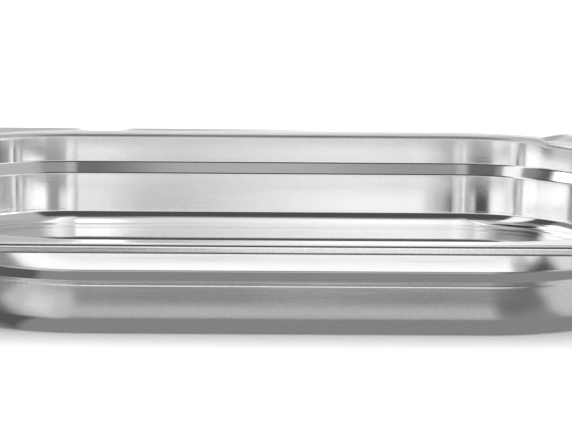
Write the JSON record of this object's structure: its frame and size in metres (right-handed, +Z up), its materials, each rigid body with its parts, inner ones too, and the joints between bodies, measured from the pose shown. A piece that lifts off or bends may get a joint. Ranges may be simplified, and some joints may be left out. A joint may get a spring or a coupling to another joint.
{
  "type": "food pan",
  "caption": "Shallow half-size gastronorm food pan, pressed from sheet stainless steel, with a turned-down rim, a stacking shoulder and pouring corners.",
  "frame": {"origin": "centre of the base, on the surface that the pan stands on", "axes": "+X along the long sides, +Y along the short sides, +Z up out of the pan's mouth"},
  "size_m": [0.325, 0.265, 0.04],
  "materials": {
    "stainless": "satin stainless sheet with a fine grain, brushed on the lip"
  },
  "bodies": {
    "root": {"pan": "stainless"}
  },
  "joints": []
}
